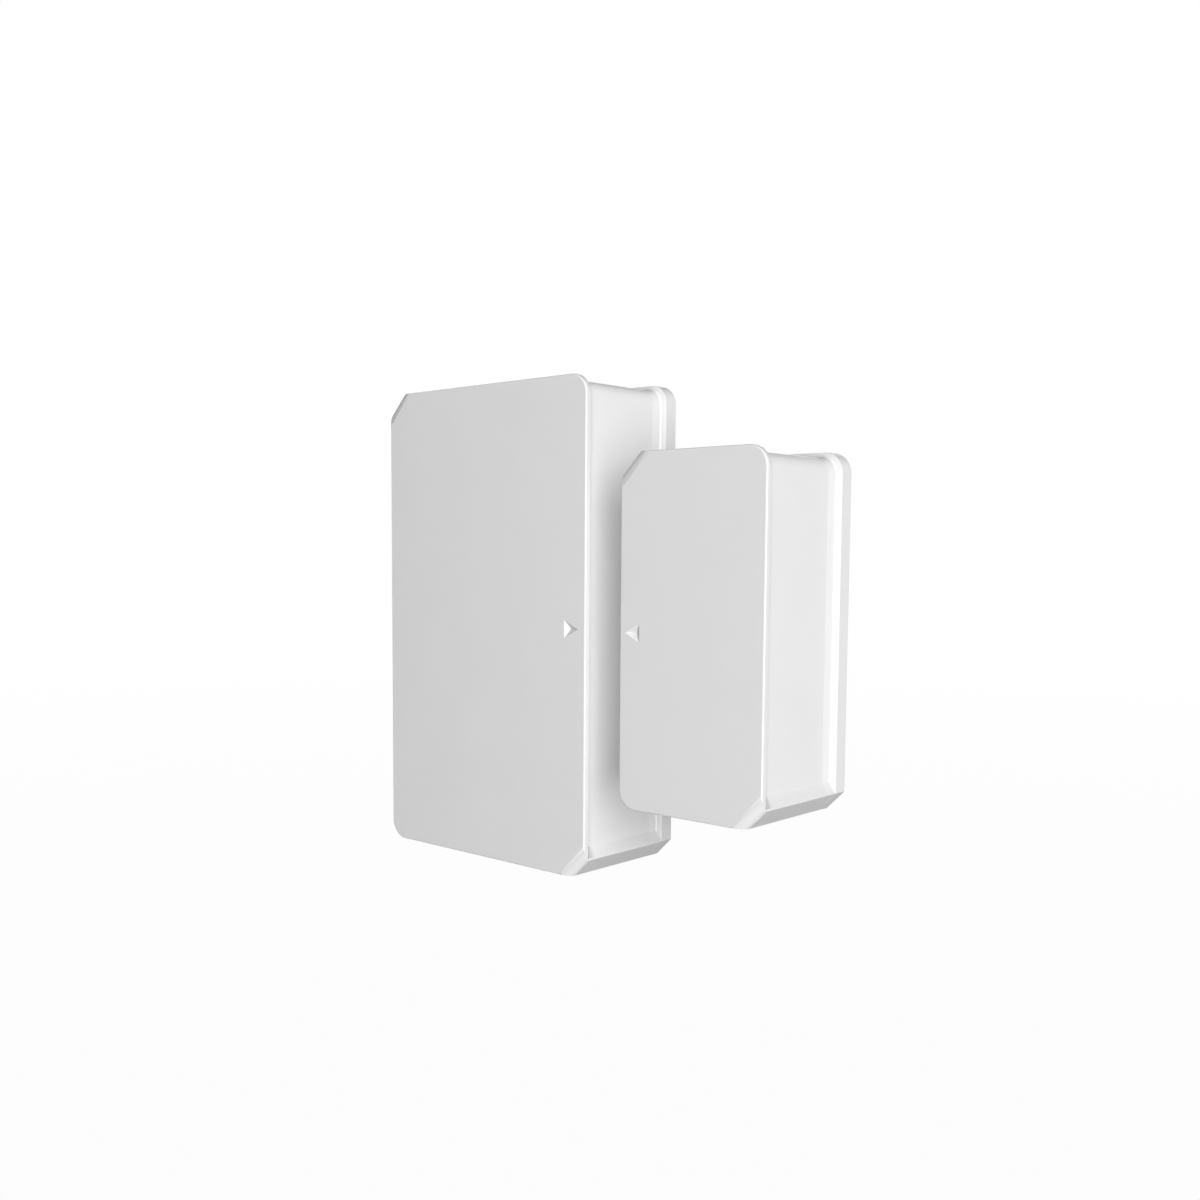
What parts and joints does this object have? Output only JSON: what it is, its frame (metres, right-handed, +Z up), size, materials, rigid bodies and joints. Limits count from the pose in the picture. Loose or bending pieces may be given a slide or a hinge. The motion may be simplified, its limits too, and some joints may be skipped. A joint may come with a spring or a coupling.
{
  "type": "door contact sensor",
  "caption": "Wireless door contact: a slim box with a reed switch, radio board and battery, and a smaller box with a bar magnet, both on screw-down base plates.",
  "frame": {"origin": "middle of the sensor unit's back face, on the wall plane", "axes": "+Y into the wall, so the front faces -Y; +Z up; +X from the sensor unit to the magnet unit"},
  "size_m": [0.0702, 0.0198, 0.07],
  "materials": {
    "cover_plastic": "satin",
    "base_plastic": "satin",
    "clear_plastic": "gloss",
    "board_laminate": "satin",
    "screw_steel": "satin",
    "holder_plastic": "satin",
    "cell_wrap": "gloss",
    "contact_nickel": "satin",
    "reed_glass": "gloss",
    "reed_metal": "satin",
    "radio_laminate": "satin",
    "shield_tin": "satin",
    "antenna_copper": "satin",
    "chip_resin": "matte",
    "capacitor_can": "satin",
    "resistor_ceramic": "satin",
    "led_plastic": "gloss",
    "switch_plastic": "satin",
    "button_plastic": "satin",
    "adhesive_foam": "matte",
    "retaining_foam": "matte",
    "magnet_nickel": "satin"
  },
  "bodies": {
    "sensor_body": {"sensor_base": "base_plastic", "circuit_board": "board_laminate", "board_screws": "screw_steel", "battery_holder": "holder_plastic", "battery_cell": "cell_wrap", "battery_spring": "contact_nickel", "battery_negative_contact": "contact_nickel", "battery_positive_contact": "contact_nickel", "reed_glass": "reed_glass", "reed_lead_upper": "reed_metal", "reed_lead_lower": "reed_metal", "radio_board": "radio_laminate", "radio_shield": "shield_tin", "antenna_wire": "antenna_copper", "controller_chip": "chip_resin", "clock_crystal": "shield_tin", "storage_capacitor": "capacitor_can", "chip_resistors": "resistor_ceramic", "status_led": "led_plastic", "pairing_switch": "switch_plastic", "tamper_switch": "switch_plastic", "tamper_spring": "contact_nickel", "sensor_adhesive_pad": "adhesive_foam"},
    "sensor_front": {"sensor_cover": "cover_plastic", "light_guide": "clear_plastic"},
    "tamper_pin": {"tamper_plunger": "button_plastic"},
    "pairing_key": {"pairing_button": "button_plastic"},
    "magnet_body": {"magnet_base": "base_plastic", "bar_magnet": "magnet_nickel", "magnet_foam": "retaining_foam", "magnet_adhesive_pad": "adhesive_foam"},
    "magnet_front": {"magnet_cover": "cover_plastic"}
  },
  "joints": [
    {"name": "sensor_cover_lift", "type": "slide", "parent": "sensor_body", "child": "sensor_front", "axis": [0, -1, 0], "range_m": [0, 0.03]},
    {"name": "tamper_release", "type": "slide", "parent": "sensor_body", "child": "tamper_pin", "axis": [0, 1, 0], "range_m": [0, 0.0015], "deforming": ["tamper_spring"]},
    {"name": "pairing_press", "type": "slide", "parent": "sensor_body", "child": "pairing_key", "axis": [0, 1, 0], "range_m": [0, 0.00025]},
    {"name": "door_opening", "type": "slide", "parent": "sensor_body", "child": "magnet_body", "axis": [1, 0, 0], "range_m": [0, 0.035]},
    {"name": "magnet_cover_lift", "type": "slide", "parent": "magnet_body", "child": "magnet_front", "axis": [0, -1, 0], "range_m": [0, 0.03]}
  ]
}
